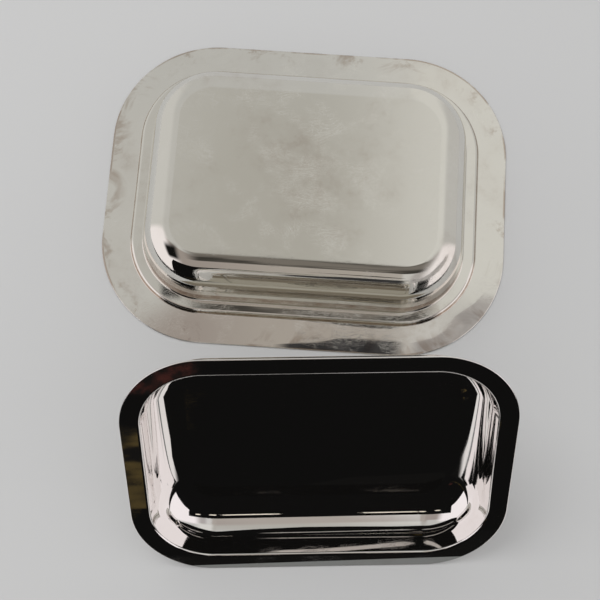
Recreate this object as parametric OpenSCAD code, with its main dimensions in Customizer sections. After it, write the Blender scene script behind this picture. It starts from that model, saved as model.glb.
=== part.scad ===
// Butter dish in two pressings, each formed from one sheet of plated metal:
// a base with a broad rim, and a cover whose narrow rim drops into the base's step.
// They are set out apart: the base lies upside down on its rim, and the cover
// stands on a long side in front of it, tipped back until its floor corner
// touches the table, with its hollow facing forward.

/* [Base] */
// Length of the base over its rim
base_w = 190; // [165:1:230]
// Width of the base over its rim
base_d = 150; // [135:0.5:190]
// Corner radius of the base's outer edge
base_corner_r = 50; // [46:0.5:60]
// Width of the rim, from its outer edge to the step
base_rim_w = 14.2; // [8:0.1:18]
// How far the rim falls from its outer edge to the step
rim_drop = 1.2; // [0.4:0.1:2.5]
// Height of the step that the cover's rim drops into
step_h = 1.9; // [1.6:0.1:3]
// Width of the flat ledge below the step
ledge_w = 5.3; // [4:0.1:7]
// Inside depth of the base, from its outer edge to the floor
base_depth = 27.5; // [22:0.5:35]
// Inside radius between the base's wall and floor
base_fillet_r = 12.5; // [8:0.5:14]

/* [Cover] */
// Width of the cover's rim, from its outer edge to the wall
cover_rim_w = 8.2; // [6:0.1:10]
// Inside depth of the cover
cover_depth = 21; // [18:0.5:28]
// Inside radius between the cover's wall and floor
cover_fillet_r = 15.5; // [12:0.5:17]

/* [Sheet] */
// Thickness of the metal
sheet = 0.8; // [0.6:0.05:1]
// Inside radius of the tight bends
bend_r = 0.6; // [0.4:0.05:0.7]
// Slope of the walls away from upright, in degrees
draft = 8; // [5:0.5:12]
// Slope of the step away from upright, in degrees
step_draft = 25; // [5:1:30]

/* [Fit] */
// Gap all round between the cover's rim and the base's step
seat_gap = 0.3; // [0.2:0.05:1]

/* [Layout] */
// Clear distance on the table from the base's rim to the cover's standing edge
cover_ahead = 96.5; // [90:0.5:140]
// How far the cover stands to the right of the base's middle
cover_aside = 17; // [0:0.5:30]
// Turn of the cover about the upright, in degrees
cover_turn = 4.8; // [0:0.1:8]

/* [Hidden] */
$fn = 96;
bend_steps = 5;
fillet_steps = 14;
edge_steps = 6;
// The floor plate runs this far under the flat end of the swept wall
lap = 1;
edge_r = sheet / 2;

// ---- plane geometry ----
function unit(v) = v / norm(v);
function left_of(v) = [-v.y, v.x];
function turned(v, a) = [v.x * cos(a) - v.y * sin(a), v.x * sin(a) + v.y * cos(a)];
function turn_between(a, b) = atan2(a.x * b.y - a.y * b.x, a * b);
function reversed(list) = [for (i = [len(list) - 1 : -1 : 0]) list[i]];

// ---- the bent section of a pressing ----
// A section is a list of [inset from the outer edge, height, inside bend radius, steps].
// It is followed on the hollow side with side = 0 and on the outside with side = sheet.
function section_at(s, i) = [s[i][0], s[i][1]];

function bend(s, i, side) =
    let (
        a = unit(section_at(s, i) - section_at(s, i - 1)),
        b = unit(section_at(s, i + 1) - section_at(s, i)),
        angle = turn_between(a, b),
        way = sign(angle),
        r = way > 0 ? s[i][2] + side : s[i][2] + sheet - side,
        corner = section_at(s, i) - side * (left_of(a) + left_of(b)) / (1 + left_of(a) * left_of(b)),
        centre = corner - a * r * tan(abs(angle) / 2) + way * r * left_of(a)
    )
    [for (k = [0 : s[i][3]]) centre - turned(way * r * left_of(a), angle * k / s[i][3])];

function bent_side(s, side) = [for (i = [1 : len(s) - 2]) each bend(s, i, side)];

function rolled_edge(s) =
    let (
        along = unit(section_at(s, 1) - section_at(s, 0)),
        centre = section_at(s, 0) + [edge_r, -edge_r]
    )
    [for (k = [0 : edge_steps]) centre - edge_r * turned(left_of(along), -180 * k / edge_steps)];

function sheet_section(s) =
    let (last = s[len(s) - 1])
    concat(rolled_edge(s), bent_side(s, 0), [[last[0], last[1]]],
           [[last[0], last[1] - sheet]], reversed(bent_side(s, sheet)));

// ---- the outline that both pressings share ----
// A rounded rectangle, as [corner centre x, corner centre y, corner radius]
function outline(w, d, corner_r) = [w / 2 - corner_r, d / 2 - corner_r, corner_r];

// How far its rolled edge reaches from the middle in the direction [a, b]
function reach_of(o, a, b) = o[0] * abs(a) + o[1] * abs(b) + (o[2] - edge_r) * norm([a, b]) + edge_r;

// ---- derived sizes of the base ----
step_run = step_h * tan(step_draft);
ledge_inset = base_rim_w + step_run;
ledge_z = -rim_drop - step_h;
base_wall_inset = ledge_inset + ledge_w;
base_wall_run = (base_depth + ledge_z) * tan(draft);
base_corner_inset = base_wall_inset + base_wall_run;
base_flat_inset = base_corner_inset + base_fillet_r * tan((90 - draft) / 2);
base_outline = outline(base_w, base_d, base_corner_r);
base_section = [
    [0, 0, 0, 0],
    [base_rim_w, -rim_drop, bend_r, bend_steps],
    [ledge_inset, ledge_z, bend_r, bend_steps],
    [base_wall_inset, ledge_z, bend_r, bend_steps],
    [base_corner_inset, -base_depth, base_fillet_r, fillet_steps],
    [base_flat_inset + 2 * lap, -base_depth, 0, 0]
];

// ---- derived sizes of the cover ----
cover_inset = ledge_inset + seat_gap;
cover_w = base_w - 2 * cover_inset;
cover_d = base_d - 2 * cover_inset;
cover_corner_inset = cover_rim_w + cover_depth * tan(draft);
cover_flat_inset = cover_corner_inset + cover_fillet_r * tan((90 - draft) / 2);
cover_outline = outline(cover_w, cover_d, base_corner_r - cover_inset);
cover_section = [
    [0, 0, 0, 0],
    [cover_rim_w, 0, bend_r, bend_steps],
    [cover_corner_inset, -cover_depth, cover_fillet_r, fillet_steps],
    [cover_flat_inset + 2 * lap, -cover_depth, 0, 0]
];

// ---- how the cover stands ----
// The table touches the rolled edge and the outside of the floor's corner.
corner_rise = cover_flat_inset - edge_r;
corner_back = cover_depth - cover_fillet_r - edge_r;
corner_far = norm([corner_rise, corner_back]);
lean = atan2(corner_rise, corner_back) - asin((cover_fillet_r + sheet - edge_r) / corner_far);
tilt = 90 - lean;
cover_half = cover_d / 2 - edge_r;
cover_lift = cover_half * sin(tilt) + edge_r * cos(tilt) + edge_r;
cover_set_back = cover_half * cos(tilt) - edge_r * sin(tilt);
stand_at = [cover_aside, -base_d / 2 - cover_ahead];
cover_at = stand_at + turned([0, cover_set_back], cover_turn);

// ---- the middle of the pair, where the origin lies ----
cover_across = reach_of(cover_outline, cos(cover_turn), sin(cover_turn) * cos(tilt));
cover_mid_x = cover_at.x - edge_r * sin(cover_turn) * sin(tilt);
cover_ahead_of_mid = reach_of(cover_outline, sin(cover_turn), cos(cover_turn) * cos(tilt));
cover_front_y = cover_at.y + edge_r * cos(cover_turn) * sin(tilt) - cover_ahead_of_mid;
middle_x = (max(base_w / 2, cover_mid_x + cover_across) + min(-base_w / 2, cover_mid_x - cover_across)) / 2;
middle_y = (base_d / 2 + cover_front_y) / 2;

// ---- one pressing, hollow side up, with its outer edge at height 0 ----
// The section is swept along the four sides and round the four corners, and a flat
// plate closes the floor inside it.
module corner_wall(o) {
    translate([o[0], o[1], 0])
        rotate_extrude(angle = 90) translate([o[2], 0]) mirror([1, 0]) children();
}

module side_wall(distance, length) {
    translate([distance, 0, 0])
        rotate([90, 0, 0]) linear_extrude(height = length, center = true)
            mirror([1, 0]) children();
}

module half_wall(o) {
    side_wall(o[0] + o[2], 2 * o[1]) children();
    rotate([0, 0, 90]) side_wall(o[1] + o[2], 2 * o[0]) children();
    corner_wall(o) children();
    mirror([1, 0, 0]) corner_wall(o) children();
}

module floor_outline(o, inset) {
    square([2 * o[0], 2 * (o[1] + o[2] - inset)], center = true);
    square([2 * (o[0] + o[2] - inset), 2 * o[1]], center = true);
    for (x = [-o[0], o[0]], y = [-o[1], o[1]]) translate([x, y]) circle(o[2] - inset);
}

module pressing(o, section, flat_inset, depth) {
    points = sheet_section(section);
    for (a = [0, 180]) rotate([0, 0, a]) half_wall(o) polygon(points);
    translate([0, 0, -depth - sheet])
        linear_extrude(height = sheet) floor_outline(o, flat_inset + lap);
}

// The base lies upside down, with its outer edge on the table
module base() {
    color([0.70, 0.68, 0.62])
        translate([-middle_x, -middle_y, 0])
            rotate([180, 0, 0]) pressing(base_outline, base_section, base_flat_inset, base_depth);
}

// The cover stands on a long side, tipped back by the lean
module cover() {
    color([0.80, 0.78, 0.76])
        translate([cover_at.x - middle_x, cover_at.y - middle_y, cover_lift])
            rotate([0, 0, cover_turn]) rotate([tilt, 0, 0])
                pressing(cover_outline, cover_section, cover_flat_inset, cover_depth);
}

base();
cover();
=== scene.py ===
"""Butter dish in two silver-plated pressings, dressed in Blender on its CAD frame."""
import math

import bpy
import numpy as np
from mathutils import Matrix, Vector


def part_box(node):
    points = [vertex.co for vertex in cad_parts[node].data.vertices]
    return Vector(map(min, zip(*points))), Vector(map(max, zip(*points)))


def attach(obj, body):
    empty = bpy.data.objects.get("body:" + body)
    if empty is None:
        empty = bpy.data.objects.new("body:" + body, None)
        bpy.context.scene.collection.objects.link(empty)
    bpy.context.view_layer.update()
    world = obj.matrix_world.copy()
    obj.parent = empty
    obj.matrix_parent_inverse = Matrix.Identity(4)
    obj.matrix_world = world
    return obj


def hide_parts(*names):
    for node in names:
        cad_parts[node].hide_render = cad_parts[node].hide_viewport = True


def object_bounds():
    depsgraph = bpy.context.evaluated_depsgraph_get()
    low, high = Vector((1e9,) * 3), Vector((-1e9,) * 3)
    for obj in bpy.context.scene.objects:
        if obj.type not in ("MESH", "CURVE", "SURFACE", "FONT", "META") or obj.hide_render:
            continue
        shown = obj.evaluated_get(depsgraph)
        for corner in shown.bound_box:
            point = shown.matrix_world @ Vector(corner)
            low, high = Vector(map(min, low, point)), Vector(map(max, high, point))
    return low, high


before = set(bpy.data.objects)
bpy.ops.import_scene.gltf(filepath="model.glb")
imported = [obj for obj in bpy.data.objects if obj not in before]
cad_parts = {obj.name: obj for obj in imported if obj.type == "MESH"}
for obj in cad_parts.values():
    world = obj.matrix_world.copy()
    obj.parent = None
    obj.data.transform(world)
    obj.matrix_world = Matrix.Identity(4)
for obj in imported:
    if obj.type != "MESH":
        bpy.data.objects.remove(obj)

cad_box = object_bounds()

# ---------------------------------------------------------------- base
# The base is pressed from one silver-plated sheet: a broad rim, a small step and ledge that the cover's
# rim drops into, a wall and a flat floor. It lies upside down on its rim. Old plate, it is rubbed and
# scratched, with brown tarnish along its edge and in its creases. Sizes are in millimetres.
SHEET = 0.8
EDGE_R = SHEET / 2
BEND_R = 0.6
DRAFT = 8
STEP_DRAFT = 25

BASE_W = 190
BASE_D = 150
BASE_CORNER_R = 50
BASE_RIM_W = 14.2
RIM_DROP = 1.2
STEP_H = 1.9
LEDGE_W = 5.3
BASE_DEPTH = 27.5
BASE_FILLET_R = 12.5


def slope(angle):
    return math.tan(math.radians(angle))


LEDGE_INSET = BASE_RIM_W + STEP_H * slope(STEP_DRAFT)
LEDGE_Z = -RIM_DROP - STEP_H
BASE_WALL_INSET = LEDGE_INSET + LEDGE_W
BASE_FOOT_INSET = BASE_WALL_INSET + (BASE_DEPTH + LEDGE_Z) * slope(DRAFT)
BASE_FLAT_INSET = BASE_FOOT_INSET + BASE_FILLET_R * slope((90 - DRAFT) / 2)

# Corners of the section, from the outer edge to the floor:
# (inset from the outer edge, height, inside bend radius, steps round the bend)
BASE_SECTION = [
    (0, 0, 0, 0),
    (BASE_RIM_W, -RIM_DROP, BEND_R, 5),
    (LEDGE_INSET, LEDGE_Z, BEND_R, 5),
    (BASE_WALL_INSET, LEDGE_Z, BEND_R, 6),
    (BASE_FOOT_INSET, -BASE_DEPTH, BASE_FILLET_R, 22),
    (BASE_FLAT_INSET + 2, -BASE_DEPTH, 0, 0),
]


def unit(v):
    return v / math.hypot(*v)


def left_of(v):
    return np.array([-v[1], v[0]])


def turned(v, angle):
    c, s = math.cos(angle), math.sin(angle)
    return np.array([v[0] * c - v[1] * s, v[0] * s + v[1] * c])


def arc(centre, spoke, angle, radius, steps, facing):
    """Points on an arc, each with the unit normal of the surface there."""
    spokes = [turned(spoke, angle * k / steps) for k in range(steps + 1)]
    return [(centre + radius * s, facing * s) for s in spokes]


def skin(corners, side):
    """One face of the sheet from the edge to the floor: side 0 is the hollow one, SHEET the outside."""
    facing = 1 if side == 0 else -1
    place = [np.array(c[:2], float) for c in corners]
    points = []
    for i in range(1, len(corners) - 1):
        a, b = unit(place[i] - place[i - 1]), unit(place[i + 1] - place[i])
        angle = math.atan2(a[0] * b[1] - a[1] * b[0], a @ b)
        way = 1 if angle > 0 else -1
        r = corners[i][2] + (side if way > 0 else SHEET - side)
        corner = place[i] - side * (left_of(a) + left_of(b)) / (1 + left_of(a) @ left_of(b))
        centre = corner - a * r * math.tan(abs(angle) / 2) + way * r * left_of(a)
        points += arc(centre, -way * left_of(a), angle, r, corners[i][3], -way * facing)
    return points


def rolled_edge(corners):
    along = unit(np.array(corners[1][:2], float))
    return arc(np.array([EDGE_R, -EDGE_R]), left_of(along), math.pi, EDGE_R, 8, 1)


def stations(half_x, half_y, corner_steps, side_step):
    """Places round the outline: a corner centre that slides along the sides, and the direction out."""
    found = []
    centres = [(half_x, half_y), (-half_x, half_y), (-half_x, -half_y), (half_x, -half_y)]
    for k, (x, y) in enumerate(centres):
        for j in range(corner_steps + 1):
            a = math.radians(90 * (k + j / corner_steps))
            found.append((x, y, math.cos(a), math.sin(a)))
        nx, ny = centres[(k + 1) % 4]
        count = round(math.hypot(nx - x, ny - y) / side_step)
        for j in range(1, count):
            found.append((x + (nx - x) * j / count, y + (ny - y) * j / count, *found[-1][2:]))
    return found


CORNER_STEPS = 40


class Shell:
    """Mesh of one pressing, hollow side up, with its outer edge at height 0."""

    def __init__(self, width, depth, corner_r, side_step):
        self.half = (width / 2 - corner_r, depth / 2 - corner_r)
        self.corner_r = corner_r
        self.side_step = side_step
        self.round = stations(*self.half, CORNER_STEPS, side_step)
        self.cut = None
        self.points, self.normals, self.inset, self.faces, self.known = [], [], [], [], {}

    def vertex(self, point, normal, inset):
        key = tuple(round(c, 4) for c in point)
        if key not in self.known:
            self.known[key] = len(self.points)
            self.points.append(point)
            self.normals.append(normal)
            self.inset.append(inset)
        return self.known[key]

    def ring(self, inset, z, normal):
        out = self.corner_r - inset
        return [self.vertex((x + out * c, y + out * s, z),
                            (-normal[0] * c, -normal[0] * s, normal[1]), inset)
                for x, y, c, s in self.round]

    def face(self, *corners):
        corners = list(dict.fromkeys(corners))
        if len(corners) > 2:
            self.faces.append(corners)

    def sweep(self, section):
        """section: (inset, height) points with normals, from the hollow floor to the outside floor."""
        rings = [self.ring(p[0], p[1], n) for p, n in section]
        for low, high in zip(rings, rings[1:]):
            for i in range(len(low)):
                j = (i + 1) % len(low)
                self.face(low[i], high[i], high[j], low[j])

    def floor(self, z, up):
        """The rectangle between the corner centres, where the rings have shrunk to nothing."""
        hx, hy = self.half
        nx, ny = round(2 * hx / self.side_step), round(2 * hy / self.side_step)
        grid = [[self.vertex((-hx + 2 * hx * i / nx, -hy + 2 * hy * j / ny, z),
                             (0, 0, up), self.corner_r)
                 for i in range(nx + 1)] for j in range(ny + 1)]
        for j in range(ny):
            for i in range(nx):
                q = (grid[j][i], grid[j][i + 1], grid[j + 1][i + 1], grid[j + 1][i])
                self.face(*(q if up > 0 else reversed(q)))


def between(a, b, z, up, stops):
    """Points on the flat floor at these insets between a and b."""
    return [(np.array([s, z]), np.array([0.0, up])) for s in stops if a < s < b]


def press(width, depth, corner_r, corners, flat_inset, side_step, flat_stops):
    """The whole sheet: hollow floor, wall, rim, rolled edge, outside wall and outside floor."""
    shell = Shell(width, depth, corner_r, side_step)
    z_in, z_out = corners[-1][1], corners[-1][1] - SHEET
    hollow = skin(corners, 0)[::-1]
    outside = skin(corners, SHEET)
    end = [(np.array([corner_r, z_in]), np.array([0.0, 1.0]))]
    start = [(np.array([corner_r, z_out]), np.array([0.0, -1.0]))]
    inner = between(flat_inset, corner_r, z_in, 1.0, flat_stops[::-1])
    outer = between(flat_inset, corner_r, z_out, -1.0, flat_stops)
    shell.sweep(end + inner + hollow + rolled_edge(corners) + outside + outer + start)
    shell.floor(z_in, 1)
    shell.floor(z_out, -1)
    return shell


def make(name, shell, matrix, material, body, node):
    """Puts a shell in its place in the row frame, in metres."""
    points = np.array(shell.points) * 0.001
    turn = np.array(matrix.to_3x3())
    points = points @ turn.T + np.array(matrix.translation)
    normals = np.array(shell.normals) @ turn.T
    mesh = bpy.data.meshes.new(name)
    mesh.from_pydata(points.tolist(), [], shell.faces)
    mesh.attributes.new("inset", "FLOAT", "POINT").data.foreach_set("value", shell.inset)
    if shell.cut is not None:
        mesh.attributes.new("cut", "FLOAT", "POINT").data.foreach_set("value", shell.cut)
    mesh.shade_smooth()
    mesh.normals_split_custom_set_from_vertices(normals.tolist())
    mesh.materials.append(material)
    piece = bpy.data.objects.new(name, mesh)
    bpy.context.scene.collection.objects.link(piece)
    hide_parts(node)
    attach(piece, body)


class Nodes:
    """Short ways to add the shader nodes used here to one material or world."""

    def __init__(self, material):
        material.use_nodes = True
        self.tree = material.node_tree
        self.tree.nodes.clear()

    def add(self, kind, **values):
        node = self.tree.nodes.new(kind)
        inputs = values.pop("inputs", {})
        for key, value in values.items():
            setattr(node, key, value)
        for key, value in inputs.items():
            if isinstance(value, bpy.types.NodeSocket):
                self.tree.links.new(value, node.inputs[key])
            else:
                node.inputs[key].default_value = value
        return node

    def math(self, operation, a, b=0.0, clamp=False):
        return self.add("ShaderNodeMath", operation=operation, use_clamp=clamp,
                        inputs={0: a, 1: b}).outputs[0]

    def span(self, value, low, high, to_low=0.0, to_high=1.0):
        """A soft step from to_low at low to to_high at high."""
        return self.add("ShaderNodeMapRange", clamp=True, interpolation_type="SMOOTHSTEP", inputs={
            "Value": value, "From Min": low, "From Max": high,
            "To Min": to_low, "To Max": to_high}).outputs[0]

    def mix(self, factor, a, b):
        return self.add("ShaderNodeMix", data_type="RGBA", inputs={0: factor, 6: a, 7: b}).outputs[2]

    def noise(self, place, scale, detail=3, rough=0.55, distortion=0.0):
        return self.add("ShaderNodeTexNoise", inputs={
            "Vector": place, "Scale": scale, "Detail": detail, "Roughness": rough,
            "Distortion": distortion}).outputs[0]

    def place(self, source, rotation=(0, 0, 0), scale=(1, 1, 1), location=(0, 0, 0)):
        return self.add("ShaderNodeMapping", inputs={
            "Vector": source, "Rotation": rotation, "Scale": scale, "Location": location}).outputs[0]


def scratches(n, place, angle, count, length, thin):
    """Fine straight scratches at one angle: thin ridges of a noise drawn out lengthways."""
    drawn = n.place(place, rotation=(0, 0, math.radians(angle)), scale=(count / length, count, count))
    ridge = n.math("ABSOLUTE", n.math("SUBTRACT", n.noise(drawn, 1.0, 1, 0.4, 0.25), 0.5))
    return n.span(ridge, 0.0, thin, 1.0, 0.0)


FRESH_METAL = (0.97, 0.96, 0.94, 1)
CUT_TARNISH = (0.10, 0.085, 0.06, 1)


def silver(name, bright, tarnished, rough, wear, film, waves, edge=0.0, creases=()):
    """Old silver plate. wear: rub marks and scratches; film: a faint brown veil; waves: unevenness from
    the press, in metres; edge: tarnish round the rim; creases: insets of the bends that keep tarnish."""
    material = bpy.data.materials.new(name)
    n = Nodes(material)
    place = n.add("ShaderNodeTexCoord").outputs["Object"]
    inset = n.add("ShaderNodeAttribute", attribute_name="inset").outputs["Fac"]
    cloud = n.noise(place, 26.0, 4, 0.6, 0.3)
    spots = n.noise(place, 190.0, 3, 0.6)

    # Slightly bent scratches at four angles, and the swirls of a polishing cloth
    drift = n.add("ShaderNodeTexNoise", inputs={"Vector": place, "Scale": 30.0, "Detail": 1})
    bent = n.add("ShaderNodeVectorMath", operation="MULTIPLY_ADD", inputs={
        0: drift.outputs["Color"], 1: (0.03, 0.03, 0.03), 2: place}).outputs[0]
    marks = scratches(n, bent, 20, 900.0, 26.0, 0.008)
    for angle, count, length in ((75, 1200.0, 30.0), (-35, 1000.0, 22.0), (140, 1500.0, 18.0)):
        marks = n.math("MAXIMUM", marks, scratches(n, bent, angle, count, length, 0.007))
    swirl = n.math("ABSOLUTE", n.math("SUBTRACT", n.noise(place, 75.0, 3, 0.5, 0.8), 0.5))
    marks = n.math("MAXIMUM", marks, n.span(swirl, 0.0, 0.006, 1.0, 0.0))
    worn = n.math("MULTIPLY", marks, n.span(n.noise(place, 60.0, 3), 0.4, 0.65))

    # Tarnish: a veil all over, a line and blotches along the rim, and lines in the creases
    stain = n.math("MULTIPLY", n.span(cloud, 0.48, 0.78), n.span(spots, 0.42, 0.72, 0.35, 1.0))
    stain = n.math("MULTIPLY", stain, film, clamp=True)
    rim_line = n.math("MULTIPLY", n.span(inset, 1.3, 0.5), n.span(cloud, 0.47, 0.58, 0.0, edge))
    blotch = n.span(n.noise(place, 46.0, 4, 0.7, 0.6), 0.50, 0.66, 0.0, 0.85 * edge)
    rim_haze = n.math("MULTIPLY", n.span(inset, 11.0, 2.0), blotch)
    stain = n.math("MAXIMUM", stain, n.math("MAXIMUM", rim_line, rim_haze))
    for crease in creases:
        line = n.math("MULTIPLY", n.span(inset, crease - 0.9, crease - 0.2),
                      n.span(inset, crease + 0.2, crease + 0.05))
        line = n.math("MULTIPLY", line, n.span(spots, 0.35, 0.6, 0.6, 1.0))
        stain = n.math("MAXIMUM", stain, line)

    colour = n.mix(n.math("MULTIPLY", worn, 0.45 * wear), bright, FRESH_METAL)
    colour = n.mix(stain, colour, tarnished)
    chased = n.add("ShaderNodeAttribute", attribute_name="cut").outputs["Fac"]
    colour = n.mix(n.span(chased, 0.15, 0.8, 0.0, 0.85), colour, CUT_TARNISH)
    roughness = n.math("ADD", n.span(cloud, 0.3, 0.7, rough * 0.8, rough * 1.2),
                       n.math("MULTIPLY", worn, wear * 0.25))
    roughness = n.math("ADD", roughness, n.math("MULTIPLY", stain, 0.12), clamp=True)
    swell = n.add("ShaderNodeBump", inputs={
        "Strength": 1.0, "Distance": waves, "Height": n.noise(place, 22.0, 1, 0.4)}).outputs[0]
    scored = n.add("ShaderNodeBump", invert=True, inputs={
        "Strength": wear, "Distance": 0.00001, "Height": worn, "Normal": swell}).outputs[0]
    shader = n.add("ShaderNodeBsdfPrincipled", inputs={
        "Base Color": colour, "Metallic": 1.0, "Roughness": roughness, "Normal": scored})
    n.add("ShaderNodeOutputMaterial", inputs={"Surface": shader.outputs[0]})
    return material


base_silver = silver("base_silver", (0.80, 0.785, 0.735, 1), (0.40, 0.31, 0.24, 1),
                     rough=0.03, wear=0.6, film=0.35, waves=0.00004, edge=0.7,
                     creases=(BASE_RIM_W, BASE_WALL_INSET))

low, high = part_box("base")
base_at = (Vector(low) + Vector(high)) / 2
base_flat_stops = [BASE_FLAT_INSET + s for s in (0.5, 5, 11)]
base_shell = press(BASE_W, BASE_D, BASE_CORNER_R, BASE_SECTION, BASE_FLAT_INSET,
                   side_step=4.0, flat_stops=base_flat_stops)
base_matrix = Matrix.Translation((base_at.x, base_at.y, 0)) @ Matrix.Rotation(math.pi, 4, "X")
make("base_pressing", base_shell, base_matrix, base_silver, "base", "base")


# ---------------------------------------------------------------- cover
# The cover is a second pressing, mirror bright, with a narrow plain rim and a chased top. It stands on a
# long side in front of the base and leans back until its fillet touches the table. Its rim is the base's
# step less a gap, so it drops into the base.
SEAT_GAP = 0.3
COVER_RIM_W = 8.2
COVER_DEPTH = 21
COVER_FILLET_R = 15.5
COVER_AHEAD = 96.5
COVER_ASIDE = 17
COVER_TURN = math.radians(4.8)

COVER_INSET = LEDGE_INSET + SEAT_GAP
COVER_W = BASE_W - 2 * COVER_INSET
COVER_D = BASE_D - 2 * COVER_INSET
COVER_CORNER_R = BASE_CORNER_R - COVER_INSET
COVER_FOOT_INSET = COVER_RIM_W + COVER_DEPTH * slope(DRAFT)
COVER_FLAT_INSET = COVER_FOOT_INSET + COVER_FILLET_R * slope((90 - DRAFT) / 2)

COVER_SECTION = [
    (0, 0, 0, 0),
    (COVER_RIM_W, 0, BEND_R, 6),
    (COVER_FOOT_INSET, -COVER_DEPTH, COVER_FILLET_R, 18),
    (COVER_FLAT_INSET + 2, -COVER_DEPTH, 0, 0),
]


# The ornament: a dashed line and a fine line along the border, and scrolls round a rosette in the middle
BORDER_IN = 4.1
CHASE_DEPTH = 0.3


def volute(centre, start, turns, r0, r1, hand, steps=70):
    """A scroll that winds in from radius r0 to r1."""
    out = []
    for k in range(steps + 1):
        t = k / steps
        r = r0 * (r1 / r0) ** t
        a = start + hand * 2 * math.pi * turns * t
        out.append((centre[0] + r * math.cos(a), centre[1] + r * math.sin(a)))
    return out


def sweep_curve(points, steps=40):
    """A smooth curve through four Bezier points."""
    p = [np.array(q, float) for q in points]
    out = []
    for k in range(steps + 1):
        t = k / steps
        ends = (1 - t) ** 3 * p[0] + t ** 3 * p[3]
        out.append(tuple(ends + 3 * t * (1 - t) * ((1 - t) * p[1] + t * p[2])))
    return out


def scroll_lines():
    """Lines of the ornament as (points, half width, depth): one quarter and a smaller one beyond it,
    mirrored to a whole, and a rosette of eight petals."""
    quarter = [
        (volute((10.5, 4.2), math.radians(-100), 1.35, 5.4, 0.9, 1), 0.5, 0.3),
        (volute((20.5, 3.4), math.radians(200), 1.2, 4.2, 0.7, -1), 0.45, 0.28),
        (sweep_curve([(2.6, 1.2), (6, 0.4), (9, -1.4), (14.5, 1.0)]), 0.5, 0.3),
        (sweep_curve([(14.5, 1.0), (18, 2.2), (21, -1.5), (27.5, 0.2)]), 0.45, 0.28),
        (sweep_curve([(3.0, 6.5), (5, 10.5), (9, 11.8), (14.5, 10.6)]), 0.45, 0.25),
        (sweep_curve([(15.2, 8.6), (18.5, 9.8), (22.5, 8.6), (25.8, 5.2)]), 0.4, 0.22),
        (sweep_curve([(24.6, 4.4), (26.6, 3.6), (27.6, 2.0), (27.8, 0.4)]), 0.4, 0.22),
        (sweep_curve([(0.0, 11.8), (1.4, 9.6), (2.2, 8.0), (1.2, 5.8)]), 0.45, 0.25),
        (sweep_curve([(6.0, 9.3), (7.4, 8.2), (7.0, 7.0), (5.6, 6.6)]), 0.35, 0.2),
    ]
    lines = []
    for sx in (1, -1):
        for sy in (1, -1):
            for points, w, d in quarter:
                lines.append(([(0.7 * sx * x, 0.8 * sy * y) for x, y in points], w, d))
                lines.append(([(0.5 * sx * x, sy * (9.5 + 0.75 * y)) for x, y in points], 0.8 * w, d))
    for k in range(8):
        a = math.radians(45 * k)
        petal = [(0.9 * math.cos(a), 0.9 * math.sin(a)),
                 (3.6 * math.cos(a - 0.3), 3.6 * math.sin(a - 0.3)),
                 (4.4 * math.cos(a), 4.4 * math.sin(a)),
                 (4.5 * math.cos(a + 0.39), 2.4 * math.sin(a + 0.39) + 1.6 * math.sin(a))]
        lines.append(([(0.7 * x, 0.7 * y) for x, y in sweep_curve(petal, 14)], 0.28, 0.22))
    return lines


def groove(distance, half_width, depth):
    """How deep a round-bottomed line is at a distance from its middle."""
    return depth * np.exp(-(distance / half_width) ** 2)


def chasing(x, y, half, corner_r, border):
    """Depth of the chased lines at places on the cover's flat top."""
    over_x, over_y = np.maximum(np.abs(x) - half[0], 0), np.maximum(np.abs(y) - half[1], 0)
    inside = np.minimum(np.maximum(half[0] - np.abs(x), 0), np.maximum(half[1] - np.abs(y), 0))
    inset = corner_r - np.hypot(over_x, over_y) + inside
    dashes = 0.6 + 0.4 * np.cos(2 * math.pi * (x + y) / 1.5)
    depth = dashes * groove(inset - border, 0.8, CHASE_DEPTH) + groove(inset - border - 2.0, 0.4, 0.12)
    near = (np.abs(x) < 21) & (np.abs(y) < 20)
    px, py = x[near], y[near]
    cut = np.zeros(len(px))
    for points, half_width, deep in scroll_lines():
        away = np.full(len(px), 1e9)
        for (ax, ay), (bx, by) in zip(points, points[1:]):
            ex, ey = bx - ax, by - ay
            t = np.clip(((px - ax) * ex + (py - ay) * ey) / (ex * ex + ey * ey + 1e-12), 0, 1)
            away = np.minimum(away, np.hypot(px - ax - t * ex, py - ay - t * ey))
        cut = np.maximum(cut, groove(away, half_width, deep))
    depth[near] = np.maximum(depth[near], cut)
    return depth


def chase(shell, z_out, border):
    """Presses the ornament into the outside floor, and turns the normals with it."""
    p, n = np.array(shell.points), np.array(shell.normals)
    top = np.flatnonzero((np.abs(p[:, 2] - z_out) < 1e-6) & (n[:, 2] < -0.999))
    x, y = p[top, 0], p[top, 1]
    reach = 0.05    # to each side of a point, where its slope is taken

    def cut(a, b):
        return chasing(a, b, shell.half, shell.corner_r, border)

    p[top, 2] += cut(x, y)
    n[top, 0] = (cut(x + reach, y) - cut(x - reach, y)) / (2 * reach)
    n[top, 1] = (cut(x, y + reach) - cut(x, y - reach)) / (2 * reach)
    n[top] /= np.linalg.norm(n[top], axis=1)[:, None]
    shell.points, shell.normals = p.tolist(), n.tolist()
    shell.cut = np.zeros(len(p))
    shell.cut[top] = cut(x, y) / CHASE_DEPTH


cover_silver = silver("cover_silver", (0.86, 0.845, 0.83, 1), (0.50, 0.40, 0.32, 1),
                      rough=0.02, wear=0.08, film=0.12, waves=0.00003, edge=0.1)

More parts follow.
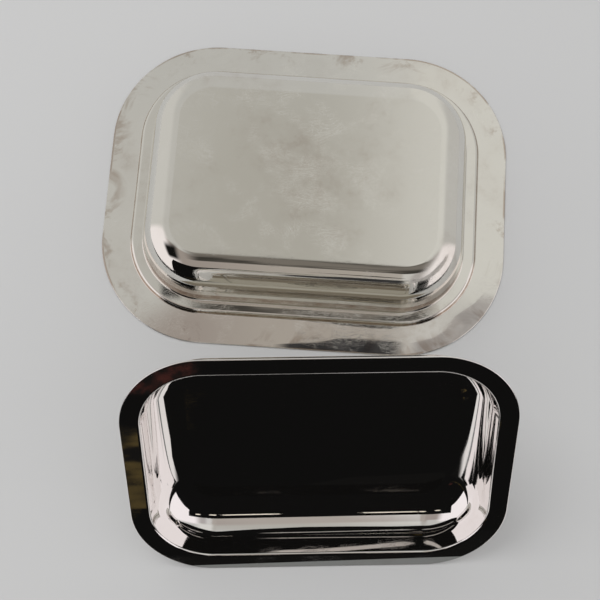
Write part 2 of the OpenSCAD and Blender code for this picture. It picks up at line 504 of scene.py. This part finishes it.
# The lean at which the outer edge and the fillet touch the table together
rise, back = COVER_FLAT_INSET - EDGE_R, COVER_DEPTH - COVER_FILLET_R - EDGE_R
lean = math.atan2(rise, back) - math.asin((COVER_FILLET_R + EDGE_R) / math.hypot(rise, back))
tilt = math.pi / 2 - lean
cover_flat_stops = [COVER_FLAT_INSET + s for s in (
    0.5, 2, 3.2, 3.5, 3.8, 4.1, 4.4, 4.7, 5.0, 5.3, 5.6, 5.9, 6.2, 6.6, 8, 11)]
cover_shell = press(COVER_W, COVER_D, COVER_CORNER_R, COVER_SECTION, COVER_FLAT_INSET,
                    side_step=0.5, flat_stops=cover_flat_stops)
chase(cover_shell, -COVER_DEPTH - SHEET, COVER_FLAT_INSET + BORDER_IN)
cover_turn = Matrix.Rotation(COVER_TURN, 4, "Z") @ Matrix.Rotation(tilt, 4, "X")
half = COVER_D / 2 - EDGE_R
set_back = half * math.cos(tilt) - EDGE_R * math.sin(tilt)
cover_at = base_at + 0.001 * Vector((COVER_ASIDE - set_back * math.sin(COVER_TURN),
                                     -BASE_D / 2 - COVER_AHEAD + set_back * math.cos(COVER_TURN), 0))
cover_at.z = 0.001 * (half * math.sin(tilt) + EDGE_R * math.cos(tilt) + EDGE_R)
cover_matrix = Matrix.Translation(cover_at) @ cover_turn
make("cover_pressing", cover_shell, cover_matrix, cover_silver, "cover", "cover")


# ---------------------------------------------------------------- studio
# A plain pale floor, an even world and one soft lamp. Plate shows mostly what stands round it, so the
# room is made of sheets that only reflections see, and what they show in the plate is painted reflection:
# a table top with a painted sheen and painted shade, a dark room in front of it with two ceiling strips,
# and dark sheets over the pair.
def plain(name, corners, material, **seen):
    """A flat sheet of the studio, corners in metres; seen says which rays meet it."""
    mesh = bpy.data.meshes.new(name)
    mesh.from_pydata(corners, [], [tuple(range(len(corners)))])
    mesh.materials.append(material)
    sheet = bpy.data.objects.new(name, mesh)
    bpy.context.scene.collection.objects.link(sheet)
    for kind, value in seen.items():
        setattr(sheet, "visible_" + kind, value)


def floor_material():
    material = bpy.data.materials.new("studio_floor")
    n = Nodes(material)
    place = n.add("ShaderNodeTexCoord").outputs["Object"]
    tone = n.mix(n.noise(place, 6.0, 2, 0.5), (0.535, 0.535, 0.535, 1), (0.55, 0.55, 0.548, 1))
    shader = n.add("ShaderNodeBsdfPrincipled", inputs={
        "Base Color": tone, "Roughness": 0.85, "Specular IOR Level": 0.1})
    n.add("ShaderNodeOutputMaterial", inputs={"Surface": shader.outputs[0]})
    return material


plain("studio_floor", [(-4, -4, 0), (4, -4, 0), (4, 4, 0), (-4, 4, 0)], floor_material())

REFLECTED_ONLY = dict(camera=False, diffuse=False, shadow=False, transmission=False, volume_scatter=False)


def card(name, z, outline, material):
    """A level sheet, in millimetres, that shows only in reflections."""
    plain(name, [(0.001 * x, 0.001 * y, 0.001 * z) for x, y in outline], material, **REFLECTED_ONLY)


def oblong(x0, x1, y0, y1):
    return [(x0, y0), (x1, y0), (x1, y1), (x0, y1)]


def emission(n, colour, strength=1.0):
    return n.add("ShaderNodeEmission", inputs={"Color": colour, "Strength": strength})


def glow(name, colour, strength=1.0):
    """One even colour, as bright as it is written."""
    material = bpy.data.materials.new(name)
    n = Nodes(material)
    shader = emission(n, (*colour, 1), strength)
    n.add("ShaderNodeOutputMaterial", inputs={"Surface": shader.outputs[0]})
    return material


def soft(n, shader, blur):
    """Fades a card out towards its four edges, over this share of its length and of its width."""
    way = n.add("ShaderNodeSeparateXYZ", inputs={
        0: n.add("ShaderNodeTexCoord").outputs["Generated"]}).outputs
    fade = 1.0
    for axis in (way[0], way[1]):
        edge = n.math("SUBTRACT", 0.5, n.math("ABSOLUTE", n.math("SUBTRACT", axis, 0.5)))
        fade = n.math("MULTIPLY", n.span(edge, 0.0, blur), fade)
    return n.add("ShaderNodeMixShader", inputs={
        0: fade, 1: n.add("ShaderNodeBsdfTransparent").outputs[0], 2: shader.outputs[0]})


def dim(name, low, high, stretch=(1, 1, 1), blur=None):
    """A mottled glow between two colours: dim things in the dark room, and painted dark reflections on
    the pair.
    """
    material = bpy.data.materials.new(name)
    n = Nodes(material)
    place = n.place(n.add("ShaderNodeTexCoord").outputs["Object"], scale=stretch)
    mottle = n.span(n.noise(place, 14.0, 3, 0.6), 0.42, 0.62)
    shader = emission(n, n.mix(mottle, (*low, 1), (*high, 1)))
    if blur:
        shader = soft(n, shader, blur)
    n.add("ShaderNodeOutputMaterial", inputs={"Surface": shader.outputs[0]})
    return material


def sheen():
    """A satin table top as a painted sheen: it glows pale when looked down on, and dark, a painted
    reflection of the room, when seen at a flat angle.
    """
    material = bpy.data.materials.new("table_sheen")
    n = Nodes(material)
    facing = n.add("ShaderNodeLayerWeight", inputs={"Blend": 0.5}).outputs["Facing"]
    tone = n.mix(n.span(facing, 0.80, 0.73), (0.007, 0.0068, 0.0064, 1), (0.80, 0.765, 0.75, 1))
    n.add("ShaderNodeOutputMaterial", inputs={"Surface": emission(n, tone).outputs[0]})
    return material


dark = glow("dark", (0.9, 0.88, 0.85), 0.006)
strip = glow("strip", (1, 0.9, 0.78))
unlit = (0.008, 0.0077, 0.0072)

# The table top as reflections see it, all glowing sheets: a painted satin sheen in front of the pair,
# dark at its far end, and painted shade under the cover and between the two pieces
front = 1000 * cad_box[0].y
card("table_sheen", 0.3, oblong(-3000, 3000, -3000, front + 30), sheen())
card("table_end", 0.4,
     [(-3000, -3000), (3000, -3000), (3000, -230), (100, -196), (40, -184), (15, -160), (-60, -152),
      (-3000, -152)], dark)
card("table_shade_front", 0.5, oblong(-70, 95, front - 7, front + 14),
     glow("shade_front", (0.97, 1, 0.98), 0.20))
card("table_shade_between", 0.5, oblong(-70, 80, -52, -25), glow("shade_between", (0.19, 0.165, 0.13)))
card("table_shade_under", 0.5, oblong(-70, 80, -110, -52), glow("shade_under", (0.36, 0.34, 0.29)))

# The dark room in front, with something olive and something red in it
card("dim_olive", 0.6, oblong(-190, -52, -850, -300),
     dim("dim_olive", unlit, (0.075, 0.054, 0.021), (1.1, 0.5, 1)))
plain("dim_red", [(-0.15, -0.93, 0.035), (-0.05, -0.93, 0.03), (-0.03, -0.93, 0.06), (-0.07, -0.93, 0.08),
                  (-0.14, -0.93, 0.07)],
      dim("dim_red", unlit, (0.055, 0.018, 0.015), (3, 1, 4)), **REFLECTED_ONLY)
room = [(0.9, -1.0, 0), (1.2, -0.95, 0.8), (1.2, -0.87, 1.15)]
plain("dark_room_front", room + [(-x, y, z) for x, y, z in reversed(room)], dark, **REFLECTED_ONLY)
card("dark_over_front", 200, oblong(-165, 165, -265, -140), dark)
# Two glowing strips that only reflections see: painted highlights in the cover
card("strip_left", 190, oblong(-33, 2, -182, -172), strip)
card("strip_right", 190, oblong(53, 87, -175, -165), strip)

# Dark sheets over the cover with a glowing sliver between them: painted dark reflections and a painted
# highlight in the cover
card("dark_over_cover", 50,
     [(-38, -80), (-15, -84.5), (8, -86.5), (30, -84), (52, -80), (74, -80), (74, -62), (60, -62),
      (60, -57), (-30, -57), (-30, -62), (-38, -62)], dark)
card("sliver_over_cover", 49.9,
     [(-17, -70.4), (-5, -71), (15, -69.7), (35, -69.3), (56, -69.2), (62, -68), (57, -67.1), (35, -67.4),
      (15, -67.7), (-5, -68.8)], glow("sliver", (0.50, 0.46, 0.43)))

# Dark sheets over the front of the base: painted dark reflections in its fillet, rim, bend and corners
card("dark_over_fillet", 50, oblong(-60, 72, 1, 17.5),
     dim("dim_fillet", (0.05, 0.046, 0.04), (0.20, 0.18, 0.16), (1, 9, 1), blur=0.1))
card("dark_over_left", 34, oblong(-70, -56, 1, 16), dim("dim_left", unlit, unlit, blur=0.3))
card("dark_over_rim", 50,
     [(-14, -27), (57, -27), (57, -16), (48, -14), (30, -14.6), (20, -15.5), (10, -18.2), (0, -19.2),
      (-12, -20.5)],
     dim("dim_rim", (0.033, 0.032, 0.034), (0.05, 0.048, 0.05), (3, 3, 3), blur=0.16))
card("dark_over_bend", 50,
     [(2, -7.6), (20, -8.6), (36, -9.2), (46, -9), (52, -8), (36, -6.9), (20, -7.4)],
     glow("dim_bend", (0.06, 0.055, 0.05)))
card("dark_over_corner", 50,
     [(56, -27), (57, -15.5), (66, -13), (72, -11), (79, -6), (84, 2), (96, 12), (102, 20), (125, 20),
      (112, -10), (90, -27)],
     dim("dim_corner", (0.38, 0.36, 0.355), (0.47, 0.445, 0.435), (3, 3, 3), blur=0.12))

# The rest of the room, by the way that a mirrored ray leaves: x to the right, y to the back
world = bpy.data.worlds.new("studio")
bpy.context.scene.world = world
w = Nodes(world)
x, y, _ = w.add("ShaderNodeSeparateXYZ", inputs={
    0: w.add("ShaderNodeTexCoord").outputs["Generated"]}).outputs
paths = w.add("ShaderNodeLightPath").outputs
near = w.mix(w.span(x, -0.03, -0.11), (0.44, 0.40, 0.365, 1), (0.37, 0.325, 0.30, 1))
near = w.mix(w.span(x, 0.04, 0.14), near, (0.645, 0.63, 0.615, 1))
near = w.mix(w.span(x, 0.20, 0.32), near, (0.46, 0.43, 0.42, 1))
far_left = w.mix(w.span(y, 0.06, 0.12), near, (0.58, 0.57, 0.55, 1))
sky = w.mix(w.span(y, 0.08, 0.28), near, (0.48, 0.465, 0.43, 1))
sky = w.mix(w.span(x, -0.06, -0.20), sky, far_left)
sky = w.mix(w.span(y, 0.34, 0.56), sky, (0.56, 0.555, 0.54, 1))
far_right = w.math("MULTIPLY", w.span(x, -0.02, 0.13), w.span(y, 0.10, 0.22))
sky = w.mix(far_right, sky, (0.72, 0.71, 0.68, 1))
side = w.mix(w.span(x, -0.1, 0.1), (0.66, 0.65, 0.63, 1), (0.56, 0.55, 0.535, 1))
side = w.mix(w.span(y, 0.26, 0.14), side, (1.0, 0.94, 0.95, 1))
sky = w.mix(w.span(w.math("ABSOLUTE", x), 0.38, 0.62), sky, side)
sky = w.mix(paths["Is Diffuse Ray"], sky, (0.80, 0.80, 0.80, 1))
sky = w.mix(paths["Is Camera Ray"], sky, (0.535, 0.535, 0.535, 1))
backdrop = w.add("ShaderNodeBackground", inputs={"Color": sky, "Strength": 1.0})
w.add("ShaderNodeOutputWorld", inputs={"Surface": backdrop.outputs[0]})


def softbox(name, at, towards, size, power):
    lamp = bpy.data.lights.new(name, "AREA")
    lamp.shape, lamp.size, lamp.energy = "SQUARE", size, power
    light = bpy.data.objects.new(name, lamp)
    light.location = at
    light.rotation_euler = (Vector(towards) - Vector(at)).to_track_quat("-Z", "Y").to_euler()
    light.visible_glossy = False
    bpy.context.scene.collection.objects.link(light)


softbox("soft_key", (-0.9, 0.7, 1.5), (0, 0, 0), 1.2, 12)

# The camera looks steeply down on the front of the pair
ELEVATION, AZIMUTH, ROLL = math.radians(75.15), math.radians(3.05), math.radians(0.82)
DISTANCE = 0.5479
AIM = Vector((base_at.x + 0.0005, base_at.y - 0.0513, 0))
LENS, FILM = 70.33, 36
back_way = Vector((math.sin(AZIMUTH) * math.cos(ELEVATION), -math.cos(AZIMUTH) * math.cos(ELEVATION),
                   math.sin(ELEVATION)))
side_way = Vector((math.cos(AZIMUTH), math.sin(AZIMUTH), 0))
axes = Matrix((side_way, back_way.cross(side_way), back_way)).transposed()
lens = bpy.data.cameras.new("camera")
lens.sensor_width, lens.lens = FILM, LENS
camera = bpy.data.objects.new("camera", lens)
turn = (axes @ Matrix.Rotation(ROLL, 3, "Z")).to_4x4()
camera.matrix_world = Matrix.Translation(AIM + back_way * DISTANCE) @ turn
bpy.context.scene.collection.objects.link(camera)
bpy.context.scene.camera = camera
bpy.context.scene.view_settings.view_transform = "Standard"
